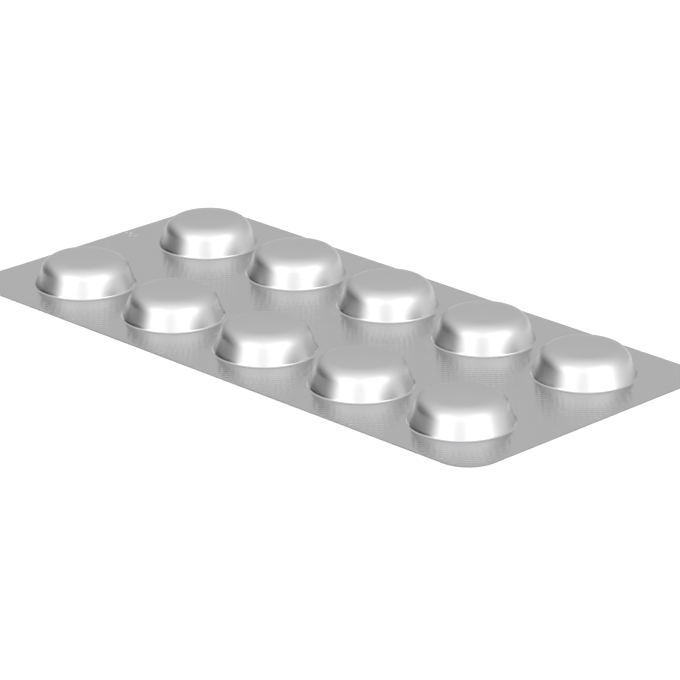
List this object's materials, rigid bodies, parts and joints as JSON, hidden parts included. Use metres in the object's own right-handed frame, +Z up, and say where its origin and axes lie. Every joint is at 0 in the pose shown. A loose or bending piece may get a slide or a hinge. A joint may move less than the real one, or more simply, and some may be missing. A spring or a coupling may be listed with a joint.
{
  "type": "tablet blister pack",
  "caption": "Flat metal-foil blister pack: a round-cornered card with rows of deep-drawn round pockets, each sealed over a tablet.",
  "frame": {"origin": "centre of the flat underside of the card", "axes": "+X along the card's length and the rows of pockets, +Y across the card, +Z up out of the flat underside through the pockets"},
  "size_m": [0.107, 0.0516, 0.0048],
  "materials": {
    "foil": "satin, cold-formed and heat-sealed"
  },
  "bodies": {
    "root": {"blister_pack": "foil"}
  },
  "joints": []
}
